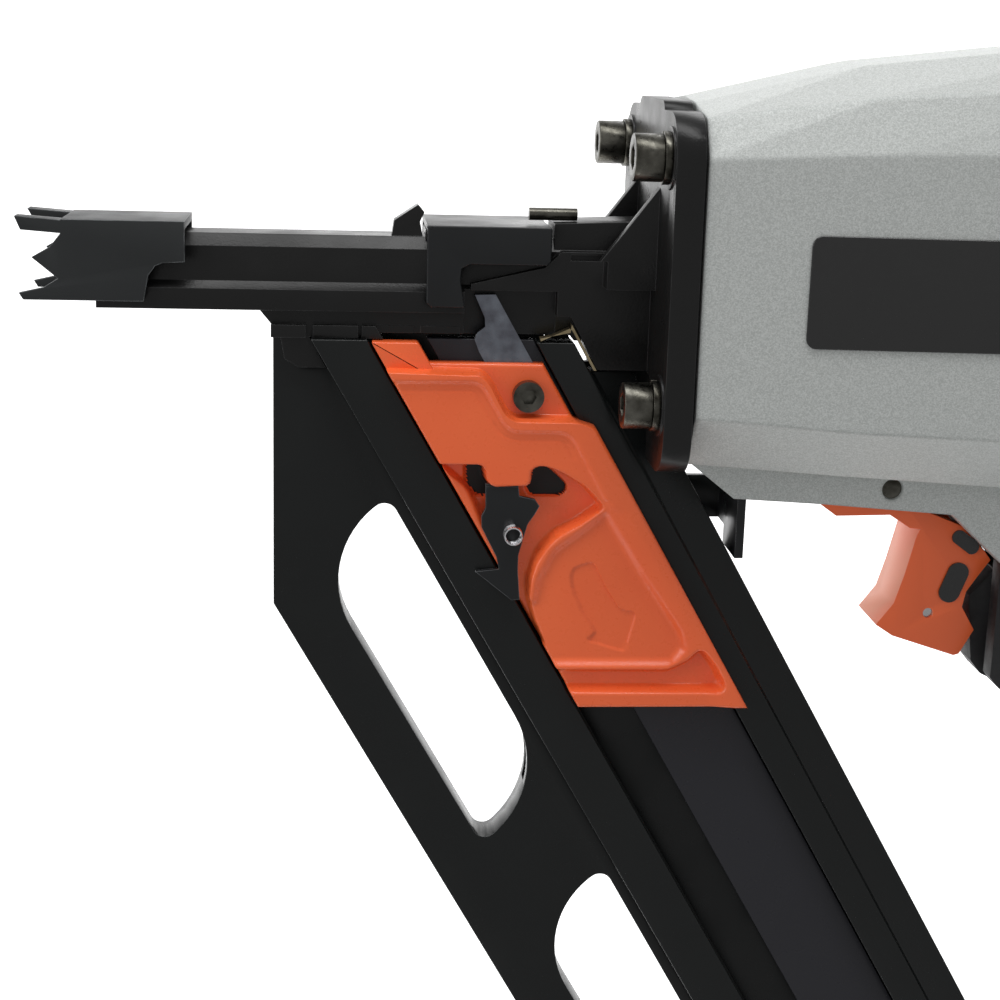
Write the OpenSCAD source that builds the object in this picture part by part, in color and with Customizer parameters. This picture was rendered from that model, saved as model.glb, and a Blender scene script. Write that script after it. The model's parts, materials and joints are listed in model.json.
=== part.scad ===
// Pneumatic framing nailer.
// Frame: origin at the nosepiece mouth on the drive axis, nose towards -X, +Z away from the magazine,
// +Y across the tool. The magazine runs down and back from the nose at mag_angle to the drive axis.

/* [Nosepiece] */
// Length from the mouth to the front of the flange
nose_len = 158; // [150:1:175]
// Half width of the rail that the contact tip slides on
nose_half_w = 12; // [11:0.5:13]
// Height of the rail above the drive axis
nose_top = 8.6; // [7.5:0.1:9]
// Depth of the rail below the drive axis
nose_bottom = 12.6; // [11:0.1:13]
// Clearance of the driver in its channel
bore_gap = 0.6; // [0.5:0.1:0.8]
// Length of the mouth's close-fitting bore
mouth_len = 30; // [24:1:31]
// Thickness of the flange
flange_t = 8; // [6:0.5:10]
// Distance of the flange bolts from the drive axis, sideways
bolt_y = 36; // [34:0.5:37]
// Distance of the flange bolts from the drive axis, up and down
bolt_z = 34.2; // [33:0.2:35]
// Radius of the flange bolts
bolt_r = 4; // [3:0.5:4]

/* [Contact element] */
// How far the tip stands in front of the mouth
tip_reach = 21.5; // [21:0.5:26]
// Travel of the contact element
tip_travel = 20; // [12:1:20]
// Sheet thickness of the tip
tip_t = 2; // [1.5:0.25:2]
// Gap between the tip and the rail
tip_gap = 0.4; // [0.3:0.1:0.6]
// Thickness of the arm plate
arm_t = 2.4; // [2:0.2:3]

/* [Magazine] */
// Length along the magazine, from the drive axis to its end
mag_len = 455; // [440:1:520]
// Length of the longest nail
nail_len = 89; // [80:1:90]
// Half width of the channel for the nail shanks
shank_gap = 2.4; // [2.2:0.1:2.8]
// Half width of the channel for the nail heads
head_gap = 4.4; // [4.2:0.1:4.8]
// Thickness of the fin
fin_t = 11.6; // [10:0.2:12.6]
// Distance between the windows in the fin
window_pitch = 139; // [130:1:150]
// How far the rails stand out beside the follower
rail_out = 13; // [12:0.5:13.5]

/* [Follower] */
// Gap between the follower and what it slides on
slide_gap = 0.4; // [0.3:0.1:0.8]
// How far the follower stands out
follower_out = 19; // [17:0.5:22]
// Radius of the follower screw's head
screw_r = 4.5; // [4:0.5:5]

/* [Drive] */
// Radius of the driver blade
driver_r = 3.2; // [3:0.1:3.4]
// Stroke of the piston
stroke = 128; // [120:1:130]
// Inner radius of the cylinder sleeve
sleeve_r = 29; // [26:0.5:30]
// Wall of the cylinder sleeve
sleeve_t = 3; // [2:0.5:4]
// Thickness of the piston
piston_t = 14; // [10:1:16]
// Opening travel of the head valve
valve_lift = 5; // [3:0.5:6]

/* [Housing] */
// Half width at the front
body_front_w = 44; // [43:0.5:47]
// Half width at the rear
body_rear_w = 54; // [52:0.5:60]
// Height above the drive axis at the rear
body_top = 71; // [68:1:78]
// Depth below the drive axis at the rear
body_bottom = 60; // [56:1:62]
// Depth of the air chamber around the sleeve
chamber_gap = 9; // [7:0.5:10]
// Length of the rear cap
cap_len = 27; // [25:1:34]

/* [Handle] */
// Distance from the drive axis to the end of the handle
handle_len = 288; // [280:1:300]
// Half thickness of the handle's casting, side to side
handle_half = 14; // [13:0.5:16]
// Thickness of the rubber grip
grip_t = 3; // [2:0.5:4]

/* [Trigger] */
// Half width of the trigger
trigger_half = 10; // [9:0.5:11]
// Wall of the trigger
trigger_wall = 3; // [2:0.25:3.5]
// Radius of the trigger's pivot pin
pivot_r = 3; // [2:0.25:3]
// Running clearance of pins and plungers
run_gap = 0.05; // [0.02:0.01:0.09]

/* [Hidden] */
$fn = 48;
eps = 0.01;
// The angle between magazine and drive axis is that of 30 degree nail strips
mag_angle = 60;

bore_r = driver_r + bore_gap;
chamber_r = sleeve_r + sleeve_t + chamber_gap;
// The housing's half widths are given for an air chamber of radius 41, and grow with the chamber
side_grow = chamber_r - 41;
front_w = body_front_w + side_grow;
rear_w = body_rear_w + side_grow;

// Stations along the drive axis
flange_x0 = nose_len;
flange_x1 = flange_x0 + flange_t;
gasket_t = 1;
body_x0 = flange_x1 + gasket_t;
body_wall = 10;
spigot_r = 23.5;
sleeve_x0 = body_x0 + body_wall + 0.5;
bumper_len = 16.5;
bumper_x1 = sleeve_x0 + bumper_len;
piston_x0 = bumper_x1 + stroke;
piston_x1 = piston_x0 + piston_t;
sleeve_x1 = piston_x1 + 2;
body_x1 = sleeve_x1 + 3;
cap_x0 = body_x1 + gasket_t;
cap_x1 = cap_x0 + cap_len;
deflector_t = 8;

// Contact element around the nose
tip_in = nose_half_w + tip_gap;
tip_out = tip_in + tip_t;
tip_roof = nose_top + 1.4;
arm_y = tip_out;
nose_far = tip_out - 0.8;

// Stations across the magazine, measured square to its length from the drive axis's mouth point
fin_lo = -8;
fin_hi = 42;
rail_hi = 56;
slot_hi = 71;
panel_hi = 98;
head_lo = 101.5;
head_hi = 112.5;
track_mid = 107.8;
track_hi = 119;
mag_top = -20.6;
nail_head_x = (head_hi - 4) / cos(90 - mag_angle);
nail_tip = (nail_head_x - nail_len) * cos(90 - mag_angle);
panel_out = 8;
back_out = 6.4;
fin_front = 49.5;

// Pivots
trigger_x = body_x0 + 61;
trigger_z = -59.5;
pivot_x = trigger_x + 3;
pivot_z = trigger_z - 1.6;
lever_x = trigger_x + 21.3;
lever_z = trigger_z - 43.7;
valve_z = trigger_z - 24.5;
valve_x = trigger_x + 39.9;
pocket_half = trigger_half + 1;
keel_half = pocket_half + 12;
pin_half = keel_half - 1.2;
grip_half = pocket_half + 6.5;
grip_nose_half = trigger_half - trigger_wall - 0.7;
knob_x = flange_x0 - 3;
knob_z = -73;
body_taper = 133;
label_tilt = atan2(rear_w - front_w, body_taper);

// The handle leans so that its end stays bracket_gap from the magazine
handle_x = body_x0 + 125;
bracket_gap = 11;
joint_r = 2.5;
lug_back = 31;
lug_up = 8;
handle_lean = mag_angle / 2 + asin(cos(30) * ((track_hi - lug_up / 2) / sin(mag_angle)
    - handle_x + lug_back + bracket_gap) / handle_len);
joint_x = handle_x + handle_len * sin(handle_lean) - lug_back;
joint_z = lug_up - handle_len * cos(handle_lean);
collar_half = handle_half + grip_t;
end_x = 2.5;

// ---------- helpers ----------

// Side outline drawn in X and Z, given thickness from y0 to y1
module side(y0, y1) {
    translate([0, y1, 0]) rotate([90, 0, 0]) linear_extrude(y1 - y0) children();
}

// Cross-section drawn in Y and Z, given length from x0 to x1
module along_x(x0, x1) {
    translate([x0, 0, 0]) rotate([90, 0, 90]) linear_extrude(x1 - x0) children();
}

module rod_x(x0, x1, r) {
    translate([x0, 0, 0]) rotate([0, 90, 0]) cylinder(h = x1 - x0, r = r);
}

module rod_y(y0, y1, r) {
    translate([0, y1, 0]) rotate([90, 0, 0]) cylinder(h = y1 - y0, r = r);
}

module block(a, b) {
    translate(a) cube(b - a);
}

// Magazine frame: local x runs down the magazine, local z across it
module in_mag() {
    rotate([0, mag_angle, 0]) children();
}

// The same frame for a side outline
module in_mag_2d() {
    rotate(-mag_angle) children();
}

module mag_bar(s0, s1, y0, y1, t0, t1) {
    in_mag() block([s0, y0, t0], [s1, y1, t1]);
}

// Everything of the magazine stays below the nosepiece
module below(z) {
    intersection() {
        children();
        block([-60, -80, -760], [600, 80, z]);
    }
}

function mag_s(x, z) = x * cos(mag_angle) - z * sin(mag_angle);
function mag_t(x, z) = x * sin(mag_angle) + z * cos(mag_angle);
function mag_x(t, z) = (t - z * cos(mag_angle)) / sin(mag_angle);

module round_rect(w, h, r) {
    square([w - 2 * r, h], center = true);
    square([w, h - 2 * r], center = true);
    for (x = [-1, 1], y = [-1, 1]) translate([x * (w / 2 - r), y * (h / 2 - r)]) circle(r = r);
}

module four_bolts() {
    for (y = [-1, 1], z = [-1, 1]) translate([0, y * bolt_y, z * bolt_z]) children();
}

// Points of a helix along +X, as one swept polyhedron
module coil(r, wire, len, turns) {
    steps = 14;
    sides = 6;
    n = turns * steps;
    pitch = (len - 2 * wire) / turns;
    pts = [for (i = [0 : n]) for (k = [0 : sides - 1])
        let (a = 360 * i / steps, b = 360 * k / sides, rr = r + wire * cos(b))
        [wire + pitch * i / steps + wire * sin(b), rr * cos(a), rr * sin(a)]];
    walls = [for (i = [0 : n - 1]) for (k = [0 : sides - 1])
        let (j = (k + 1) % sides)
        [i * sides + k, i * sides + j, (i + 1) * sides + j, (i + 1) * sides + k]];
    ends = [[for (k = [sides - 1 : -1 : 0]) k], [for (k = [0 : sides - 1]) n * sides + k]];
    polyhedron(pts, concat(walls, ends), convexity = 8);
}

// Socket head screw along -X, its seat at x = 0
module cap_screw(r, head_r, head_h, shank) {
    difference() {
        union() {
            rod_x(-head_h, 0, head_r);
            rod_x(-eps, shank, r);
        }
        translate([-head_h - 1, 0, 0]) rotate([0, 90, 0]) cylinder(h = head_h * 0.55 + 1, r = head_r * 0.52, $fn = 6);
    }
}

// ---------- nose ----------

module nose_rail_2d() {
    polygon([[-6.5, nose_top], [-9.5, 5.2], [-9.5, -4.6], [-nose_half_w, -6.6], [-nose_half_w, -nose_bottom],
        [nose_half_w, -nose_bottom], [nose_half_w, -6.6], [9.5, -4.6], [9.5, 5.2], [6.5, nose_top]]);
}

module flange_2d() {
    difference() {
        union() {
            translate([0, -3.5]) round_rect(90, 100, 12);
            translate([0, 40]) round_rect(44, 18, 4);
        }
        translate([0, -54]) square([2 * (rail_out + 2.2) + 3, 50], center = true);
    }
}

module nosepiece() {
    lug = [[49, 59], [61, 74], [75, 90], [92, 103.5]];
    right = mag_x(110, -13);
    right_low = mag_x(110, -28.4);
    color([0.09, 0.09, 0.1]) difference() {
        union() {
            along_x(0, flange_x0) nose_rail_2d();
            side(-9, 9) polygon([[45, -12], [flange_x0, -12], [flange_x0, mag_top + 0.1],
                [49, mag_top + 0.1], [49, -16.8]]);
            for (l = lug) block([l[0], -11, mag_top + 0.1], [l[1], -8, -16.8]);
            block([93, -8, 8], [128.5, 8, 10.6]);
            side(-6, 0) polygon([[83.2, 8], [84, 13], [90.8, 17.6], [92.7, 15.4], [91.4, 12.8], [92.4, 8]]);
            side(-13, nose_far) polygon([[106, -13], [136, -13], [flange_x0, -13], [flange_x0, 5.6], [132, 5.6],
                [127, 1], [106, -4]]);
            side(-9, 9) polygon([[130, 5], [130, 13.2], [flange_x0 - 1, 14.3], [flange_x0, 14.3],
                [flange_x0, 5]]);
            side(-13, 13) polygon([[right, -12], [flange_x0, -12], [flange_x0, -28.4], [right_low, -28.4]]);
            side(-fin_t / 2 - 3.2, -fin_t / 2 - 0.1) polygon([[51.5, -19], [59.2, -19], [64.8, -29.4], [57, -29.5], [52.8, -27]]);
            along_x(flange_x0, flange_x1) flange_2d();
            for (y = [-21, arm_y + arm_t + 0.7]) side(y, y + 4) polygon([[142, 4], [149, 13], [flange_x0, 25],
                [flange_x0, 4]]);
            side(-21, -12) polygon([[144, -4], [144, 5], [flange_x0, 5], [flange_x0, -4]]);
            side(nose_far - 2, nose_far) polygon([[144, -4], [144, 5], [flange_x0, 5], [flange_x0, -4]]);
            rod_x(flange_x1 - 1, flange_x1 + 6, spigot_r);
            four_bolts() rod_x(flange_x0 - 0.6, flange_x0 + 1, 8.6);
        }
        rod_x(-1, mouth_len + 1, bore_r);
        rod_x(mouth_len, flange_x1 + 7, bore_r + 0.3);
        // feed way for shanks and heads
        block([nail_head_x - nail_len - 4, -shank_gap, -40], [nail_head_x + 3, shank_gap, 0]);
        block([nail_head_x - 7, -head_gap, -40], [nail_head_x + 4, head_gap, 0]);
        // window in the near side for the lockout blade
        block([104.4, -30, -40], [131, -8.2, -5.8]);
        four_bolts() rod_x(flange_x0 - 2, flange_x1 + 1, bolt_r + 0.4);
        // recess in the ledge
        block([134.5, -14, 3.2], [146, -11.5, 4.8]);
        // room for the head track
        below(-19) mag_bar(-40, 120, -rail_out - 0.5, 9, 60, 108.1);
        below(-15) mag_bar(-40, 120, -rail_out - 0.5, -9.2, 60, 109.9);
    }
}

module nose_clip() {
    t = 2;
    y0 = -nose_half_w - 1 - t;
    far = arm_y + arm_t + 0.6;
    y1 = far + t;
    color([0.11, 0.12, 0.13]) union() {
        difference() {
            block([93.2, y0, 8.6], [128.7, y1, 12.6]);
            block([90, y0 + t, 4], [132, far, 10.6]);
        }
        side(y0, y0 + t) polygon([[93.2, 9], [128.7, 9], [128.7, 3], [127.5, 1.8], [105.4, 1.8], [103.2, 0.6],
            [102.9, -2.6], [104.2, -10.6], [94.6, -10.6], [93.2, -9.4]]);
        side(far, y1) polygon([[93.2, 9], [128.7, 9], [128.7, -6], [93.2, -6]]);
    }
}

module clip_pin() {
    color([0.16, 0.16, 0.16]) translate([0, -3, 15.4]) rod_x(123, 137, 1.8);
}

// Formed strip that guides the last nail into the nose
module feed_guide() {
    color([0.5, 0.42, 0.28]) side(-rail_out - 0.2, -9.4) polygon([[mag_x(108.2, -17.6), -17.6],
        [mag_x(109.7, -15.2), -15.2], [mag_x(109.7, -28.6), -28.6], [mag_x(109, -28.6), -28.6], [mag_x(109, -17), -17],
        [mag_x(108.6, -16.4), -16.4], [126.6, -20.2], [126.4, -19.4]]);
}

module nose_gasket() {
    color([0.15, 0.15, 0.15]) along_x(flange_x1, body_x0) difference() {
        translate([0, -2]) round_rect(84, 92, 12);
        translate([0, -54]) square([2 * (rail_out + 2.2) + 4, 52], center = true);
        circle(r = spigot_r + 0.3);
        for (y = [-1, 1], z = [-1, 1]) translate([y * bolt_y, z * bolt_z]) circle(r = bolt_r + 0.4);
    }
}

washer_t = 2;
module nose_bolts() {
    color([0.3, 0.3, 0.26]) four_bolts() translate([flange_x0 - 0.6 - washer_t, 0, 0])
        cap_screw(bolt_r, 6.5, 8, 26);
}

module lock_washers() {
    color([0.24, 0.24, 0.22]) four_bolts() difference() {
        rod_x(flange_x0 - 0.6 - washer_t, flange_x0 - 0.6, 7.2);
        rod_x(flange_x0 - 4, flange_x0 + 1, bolt_r + 0.2);
        translate([flange_x0 - 4, -0.5, 0]) cube([6, 1, 10]);
    }
}

// ---------- contact element ----------

module tip_wall_2d() {
    polygon([[25.2, 12.3], [-9, 11.9], [-tip_reach, 13], [-tip_reach + 1.6, 9.2], [-9, 8.4], [-12, 4.6],
        [-17.1, 1.6], [-10, -4.2], [-14, -6.8], [-tip_reach + 0.6, -8.4], [-tip_reach + 1.8, -10.3],
        [13.6, -10.3], [15, -3], [17, -0.2], [19, 0.6], [25.2, 1]]);
}

module contact_tip() {
    color([0.2, 0.22, 0.23]) union() {
        side(-tip_out, -tip_in) tip_wall_2d();
        side(tip_in, tip_out) tip_wall_2d();
        block([-9, -tip_out, tip_roof], [25.2, tip_out, tip_roof + 2.3]);
        for (m = [0, 1]) mirror([0, m, 0])
            side(-tip_out, -tip_in + 4) polygon([[-9, tip_roof], [-9, 12.1], [-tip_reach, 13],
                [-tip_reach + 1.4, 10.6]]);
    }
}

// The arm runs down the far side, past the magazine, to the trigger
module contact_arm_lower() {
    color([0.12, 0.12, 0.12]) difference() {
        side(arm_y, arm_y + arm_t) polygon([[4, 5], [126, 5], [126, -30], [134, -40], [134, -66.5],
            [knob_x + 8, -66.5], [knob_x + 8, -80], [124, -80], [112, -62], [112, -3.4], [4, -3.4]]);
        translate([knob_x, 0, knob_z]) rod_y(arm_y - 1, arm_y + arm_t + 1, 3 + run_gap);
        for (x = [9, 19]) translate([x, 0, 0.8]) rod_y(arm_y - 1, arm_y + arm_t + 1, 2);
    }
}

tab_x = mag_x(track_hi, -86) + 0.8;
module contact_arm_upper() {
    y0 = arm_y + arm_t;
    color([0.08, 0.08, 0.08]) difference() {
        union() {
            side(y0, y0 + arm_t) polygon([[knob_x - 8, -66.5], [tab_x + 2.6, -66.5], [tab_x + 2.6, -80], [knob_x - 8, -80]]);
            difference() {
                block([tab_x, -10, -86], [tab_x + 2.6, y0 + arm_t, -66.5]);
                block([tab_x - 1, 8, -87], [tab_x + 4, 40, -80]);
            }
            block([tab_x, -5, -68.7], [trigger_x + 14, 5, -66.5]);
        }
        translate([knob_x, 0, knob_z]) rod_y(arm_y - 1, arm_y + 3 * arm_t, 3 + run_gap);
    }
}

module arm_screws() {
    color([0.5, 0.5, 0.5]) for (x = [9, 19]) translate([x, 0, 0.8]) {
        rod_y(arm_y, arm_y + arm_t, 1.95);
        rod_y(arm_y + arm_t, arm_y + arm_t + 1.2, 3.4);
    }
}

module depth_adjuster() {
    y0 = arm_y + 2 * arm_t;
    color([0.85, 0.35, 0.12]) translate([knob_x, 0, knob_z]) union() {
        difference() {
            rod_y(y0 + 0.1, y0 + 6, 8.5);
            for (a = [0 : 30 : 330]) rotate([0, a, 0]) translate([9.2, 0, 0]) rod_y(y0 - 1, y0 + 8, 1.4);
        }
        rod_y(arm_y - 0.4, y0 + 1, 3);
    }
}

// Return spring, behind the nose on the far side
module arm_spring() {
    color([0.7, 0.7, 0.7]) translate([126, arm_y + arm_t / 2 + 1.6, -18])
        coil(3.2, 0.5, flange_x0 - 126.5, 7);
}

// ---------- drive ----------

module driver_blade() {
    color([0.62, 0.62, 0.64]) rod_x(nail_head_x + 1.5, piston_x1, driver_r);
}

module piston() {
    color([0.72, 0.73, 0.75]) difference() {
        rod_x(piston_x0, piston_x1, sleeve_r - 0.15);
        difference() {
            rod_x(piston_x0 + 5, piston_x0 + 8, sleeve_r + 1);
            rod_x(piston_x0 + 4, piston_x0 + 9, sleeve_r - 2.5);
        }
        rod_x(piston_x0 - 1, piston_x1 + 1, driver_r);
        difference() {
            rod_x(piston_x1 - 5, piston_x1 + 1, sleeve_r - 5);
            rod_x(piston_x1 - 6, piston_x1 + 2, 9);
        }
    }
}

module piston_ring() {
    color([0.08, 0.08, 0.08]) difference() {
        rod_x(piston_x0 + 5.1, piston_x0 + 7.9, sleeve_r - 0.05);
        rod_x(piston_x0 + 4, piston_x0 + 9, sleeve_r - 2.5);
    }
}

module bumper() {
    color([0.13, 0.13, 0.13]) difference() {
        union() {
            rod_x(flange_x1 + 6.2, sleeve_x0 + 0.1, spigot_r - 0.5);
            rod_x(sleeve_x0, bumper_x1 - 0.3, sleeve_r - 0.6);
        }
        rod_x(flange_x1, bumper_x1 + 1, driver_r + 1.2);
    }
}

module cylinder_sleeve() {
    color([0.78, 0.79, 0.8]) difference() {
        union() {
            rod_x(sleeve_x0, sleeve_x1, sleeve_r + sleeve_t);
            rod_x(sleeve_x0 + 28, sleeve_x0 + 33, chamber_r - 0.3);
        }
        rod_x(sleeve_x0 - 1, sleeve_x1 + 1, sleeve_r);
        for (a = [0 : 45 : 315]) rotate([a, 0, 0]) translate([sleeve_x0 + 22, 0, 0])
            cylinder(h = 40, r = 1.6);
    }
}

module sleeve_seal() {
    color([0.1, 0.1, 0.1]) difference() {
        rod_x(sleeve_x0 + 36, sleeve_x0 + 42, sleeve_r + sleeve_t + 2);
        rod_x(sleeve_x0 + 35, sleeve_x0 + 43, sleeve_r + sleeve_t + 0.02);
    }
}

valve_x0 = sleeve_x1 + 1.5;
valve_disc = 7;
hub_r = 9;
hub_len = 10;
boss_x0 = valve_x0 + valve_disc + valve_lift + 0.8;
module head_valve() {
    color([0.2, 0.2, 0.22]) union() {
        rod_x(valve_x0, valve_x0 + valve_disc, sleeve_r + 4);
        rod_x(valve_x0 + valve_disc - eps, valve_x0 + valve_disc + hub_len, hub_r);
    }
}

module head_valve_seal() {
    color([0.1, 0.1, 0.1]) difference() {
        rod_x(sleeve_x1 + 0.2, valve_x0, sleeve_r + 2.5);
        rod_x(sleeve_x1 - 1, valve_x0 + 1, sleeve_r - 2);
    }
}

module head_valve_spring() {
    color([0.72, 0.72, 0.72]) translate([valve_x0 + valve_disc, 0, 0])
        coil(20, 1, cap_x1 - 4 - valve_x0 - valve_disc, 3);
}

// ---------- housing ----------

function body_w(x) = front_w + (rear_w - front_w) * min(1, (x - body_x0) / body_taper);
function body_line(top, w, bottom) = [[0, top], [w * 0.42, top - 1.2], [w * 0.86, top * 0.6 + 15.2], [w, 34.4 + (top - 50) * 0.22],
    [w, -36.4 - (top - 50) * 0.27], [w * 0.64, -bottom], [0, -bottom - 1],
    [-w * 0.64, -bottom], [-w, -36.4 - (top - 50) * 0.27], [-w, 34.4 + (top - 50) * 0.22],
    [-w * 0.86, top * 0.6 + 15.2], [-w * 0.42, top - 1.2]];

module body_slice(x, top, w, bottom) {
    along_x(x, x + 0.4) polygon(body_line(top, w, bottom));
}

module body_shell() {
    hull() {
        body_slice(body_x0, 49.8, front_w, 52.6);
        body_slice(body_x0 + 47, 61, body_w(body_x0 + 47), 55.5);
    }
    hull() {
        body_slice(body_x0 + 47, 61, body_w(body_x0 + 47), 55.5);
        body_slice(body_x0 + body_taper, body_top, rear_w, body_bottom);
    }
    hull() {
        body_slice(body_x0 + body_taper, body_top, rear_w, body_bottom);
        body_slice(body_x1 - 0.4, body_top, rear_w, body_bottom);
    }
}

// Handle frame: local -Z runs down the handle from the drive axis
module in_handle() {
    translate([handle_x, 0, 0]) rotate([0, -handle_lean, 0]) children();
}

module handle_slice(z, front, back, half, r) {
    translate([(front + back) / 2, 0, z]) linear_extrude(0.4) round_rect(back - front, 2 * half, r);
}

grip_z0 = -126;
grip_z1 = -handle_len + 26;
module handle_core(grow) {
    hull() {
        handle_slice(grip_z0, -17 - grow, 22 + grow, handle_half + grow, 11 + grow);
        handle_slice(grip_z1, -15 - grow, 20 + grow, handle_half + grow, 11 + grow);
    }
}

// Upper part of the handle's casting
module handle_top() {
    hull() {
        handle_slice(-56, -24, 34, 21, 10);
        handle_slice(-90, -22, 26, handle_half + 4, 10);
        handle_slice(grip_z0 - 2, -19, 24, handle_half + 2.5, 10);
    }
}

module rod_cavity(x0, x1, top, w) {
    along_x(x0, x1) polygon(body_line(top, w, 45));
}

module housing() {
    color([0.76, 0.78, 0.77]) difference() {
        union() {
            body_shell();
            // keel that holds the trigger
            translate([body_x0, 0, 0]) side(-keel_half, keel_half) polygon([[3.5, -44], [3.5, -53.8], [16.7, -64.2],
                [43.6, -65.7], [82.9, -68.7], [104, -88], [133, -88], [155, -60], [155, -44]]);
            // upper handle, with cheeks beside the trigger
            in_handle() handle_top();
            in_handle() handle_core(0);
            // collar at the handle's end, with the lug for the magazine bracket
            in_handle() translate([end_x, 0, -handle_len]) linear_extrude(handle_len + grip_z1 + 0.2)
                round_rect(41, 2 * collar_half, 11);
            translate([joint_x, 0, joint_z]) {
                rod_y(-6, 6, joint_r + 2.2);
                side(-6, 6) polygon([[0, joint_r + 2.2], [16, 14], [16, -joint_r - 2.2], [0, -joint_r - 2.2]]);
            }
        }
        rod_x(body_x0 + body_wall, body_x1 + 1, chamber_r);
        rod_x(body_x0 - 1, body_x0 + body_wall + 1, spigot_r + 0.3);
        four_bolts() rod_x(body_x0 - 1, body_x0 + 20, bolt_r + 0.05);
        // trigger pocket
        block([trigger_x - 20, -pocket_half, -130], [trigger_x + 34, pocket_half, -50]);
        block([trigger_x + 33, -pocket_half, -122], [trigger_x + 52, pocket_half, -50]);
        translate([pivot_x, 0, pivot_z]) {
            rod_y(-keel_half - 1, keel_half + 1, pivot_r);
            for (m = [0, 1]) mirror([0, m, 0]) rod_y(pin_half, keel_half + 1, pivot_r + 0.2);
        }
        // clear of the magazine's head track
        mag_bar(60, 260, -rail_out - 1.5, 10, 100, track_hi + 0.8);
        // light cavities outside the air chamber
        rod_cavity(body_x0 + 47, body_x1 - 22, 57, front_w - 0.5);
        rod_cavity(body_x0 + 90, body_x1 - 22, 64, front_w + 3.5);
        translate([0, 0, valve_z]) rod_x(valve_x + 3, valve_x + 33, 7);
        // air way in the handle
        in_handle() translate([3, 0, -handle_len - 1]) cylinder(h = handle_len - 36, r = 9);
        // seats of the cap bolts and end cap bolts
        for (p = cap_bolt_at) translate([0, p[0], p[1]]) rod_x(body_x1 - 16, body_x1 + 1, 2.6);
        in_handle() for (y = [-1, 1]) translate([end_x, y * 13.2, -handle_len - 1]) cylinder(h = 14, r = 1.6);
        translate([joint_x, 0, joint_z]) rod_y(-7, 7, joint_r + 0.05);
    }
}

label_len = 96;
label_h = 31;
module side_labels() {
    color([0.05, 0.05, 0.05]) for (m = [0, 1]) mirror([0, m, 0])
        translate([body_x0, -front_w - 0.05, 0]) rotate([0, 0, -label_tilt])
            translate([29 + label_len / 2, 0, -0.4]) rotate([90, 0, 0])
                linear_extrude(0.8) round_rect(label_len, label_h, 3);
}

cap_bolt_at = [[-43, 38], [43, 38], [-42, -38], [42, -38]];
module rear_cap() {
    color([0.1, 0.1, 0.11]) difference() {
        union() {
            hull() {
                body_slice(cap_x0, body_top, rear_w, body_bottom);
                body_slice(cap_x0 + cap_len * 0.5, body_top - 2, rear_w - 1.5, body_bottom - 2);
            }
            hull() {
                body_slice(cap_x0 + cap_len * 0.5, body_top - 2, rear_w - 1.5, body_bottom - 2);
                body_slice(cap_x1 - 0.4, body_top - 22, rear_w - 16, body_bottom - 16);
            }
        }
        difference() {
            rod_x(cap_x0 - 1, cap_x1 - 4, sleeve_r + 9);
            rod_x(boss_x0, cap_x1, hub_r + 5);
        }
        rod_x(cap_x0 - 1, valve_x0 + valve_disc + hub_len + valve_lift + 1, hub_r + run_gap);
        for (p = cap_bolt_at) translate([0, p[0], p[1]]) {
            rod_x(cap_x0 - 1, cap_x1 + 1, 3.2);
            rod_x(cap_x0 + 10, cap_x1 + 1, 5.6);
        }
        rod_x(cap_x1 - 4, cap_x1 + 1, 2.05);
    }
}

module cap_gasket() {
    color([0.12, 0.12, 0.12]) along_x(body_x1, cap_x0) difference() {
        polygon(body_line(body_top - 1, rear_w - 1, body_bottom - 1));
        circle(r = chamber_r);
        for (p = cap_bolt_at) translate(p) circle(r = 3.2);
    }
}

module cap_bolts() {
    color([0.2, 0.2, 0.2]) for (p = cap_bolt_at) translate([cap_x0 + 10, p[0], p[1]]) mirror([1, 0, 0])
        cap_screw(2.5, 5, 5.5, 22);
}

module exhaust_deflector() {
    color([0.12, 0.12, 0.12]) difference() {
        union() {
            rod_x(cap_x1 + 0.3, cap_x1 + deflector_t, 26);
            along_x(cap_x1 + 0.3, cap_x1 + deflector_t) translate([0, 22]) round_rect(26, 16, 3);
        }
        rod_x(cap_x1 - 1, cap_x1 + deflector_t - 4, 21);
        along_x(cap_x1 - 1, cap_x1 + deflector_t - 3) translate([0, 22]) square([20, 20], center = true);
        rod_x(cap_x1 - 1, cap_x1 + deflector_t + 1, 2 + run_gap);
    }
}

module deflector_screw() {
    color([0.5, 0.5, 0.5]) union() {
        rod_x(cap_x1 - 3.5, cap_x1 + deflector_t + 0.4, 2);
        difference() {
            rod_x(cap_x1 + deflector_t + 0.3, cap_x1 + deflector_t + 3.3, 4.5);
            translate([cap_x1 + deflector_t + 1.8, 0, 0]) rotate([0, 90, 0]) cylinder(h = 3, r = 2.3, $fn = 6);
        }
    }
}

// Rubber around the handle, with a horn that rises behind the trigger
module grip_sleeve() {
    color([0.08, 0.08, 0.09]) difference() {
        union() {
            in_handle() intersection() {
                handle_core(grip_t);
                translate([-60, -60, grip_z1 + 4]) cube([160, 120, grip_z0 - grip_z1 - 8]);
            }
            translate([body_x0, 0, 0]) {
                difference() {
                    side(-grip_half, grip_half) polygon([[101, -85.4], [101, -121.5], [104, -125],
                        [108.7, -127.7], [118, -133], [130, -133], [130, -88], [104, -88]]);
                    block([90, -pocket_half, -140], [103.3, pocket_half, -50]);
                    block([90, -pocket_half, -90], [113, pocket_half, -50]);
                }
                // nose inside the hollow of the trigger
                side(-grip_nose_half, grip_nose_half) polygon([[96.1, -98.5], [97.3, -110.5], [98.5, -119.9],
                    [102, -124.1], [104, -125], [105, -110], [103.3, -90.5]]);
            }
        }
        in_handle() handle_core(0);
        in_handle() handle_top();
        translate([0, 0, valve_z]) rod_x(valve_x + 3, valve_x + 33, 7);
    }
}

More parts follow.
